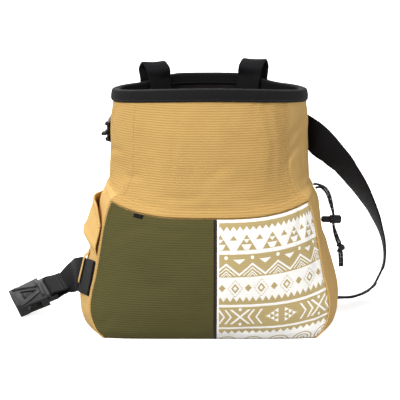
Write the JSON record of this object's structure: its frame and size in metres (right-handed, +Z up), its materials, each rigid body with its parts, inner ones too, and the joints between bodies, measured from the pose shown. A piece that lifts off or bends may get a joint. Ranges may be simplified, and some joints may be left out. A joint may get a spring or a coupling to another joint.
{
  "type": "climbing chalk bag",
  "caption": "Free-standing canvas climbing chalk bag with a stiff bound rim, front pocket panels, haul loops, webbing waist belt with a side-release buckle, and a drawcord with a cord lock.",
  "frame": {"origin": "on the surface it stands on, under the middle of the flat base", "axes": "+Z up; -Y the way the two pocket panels face; +X towards the drawcord side"},
  "size_m": [0.4154, 0.1654, 0.2664],
  "materials": {
    "canvas": "ribbed cotton canvas",
    "lining": "matte fleece lining",
    "binding": "woven binding tape",
    "olive": "ribbed cotton canvas",
    "print": "printed cotton canvas",
    "zip": "woven tape",
    "webbing": "woven nylon webbing",
    "cord": "braided cord",
    "plastic": "moulded acetal"
  },
  "bodies": {
    "bag": {"body_shell": "canvas", "lining": "lining", "rim_binding": "binding", "pocket_olive": "olive", "pocket_print": "print", "pocket_zip": "zip", "pocket_tab": "webbing", "side_pocket": "canvas", "side_flap": "canvas", "haul_loop_left": "webbing", "haul_loop_right": "webbing", "belt_long": "webbing", "belt_short": "webbing", "belt_keeper_left": "webbing", "belt_keeper_right": "webbing", "buckle_socket": "plastic", "buckle_plug": "plastic", "drawcord_front": "cord", "drawcord_back": "cord", "drawcord_knot": "cord", "cord_tail_front": "cord", "cord_tail_back": "cord", "cord_lock_body": "plastic"},
    "plunger": {"cord_lock_plunger": "plastic"}
  },
  "joints": [
    {"name": "plunger_press", "type": "slide", "parent": "bag", "child": "plunger", "axis": [1, 0, 0], "range_m": [0, 0.0022], "stiffness_N_per_m": 300}
  ]
}
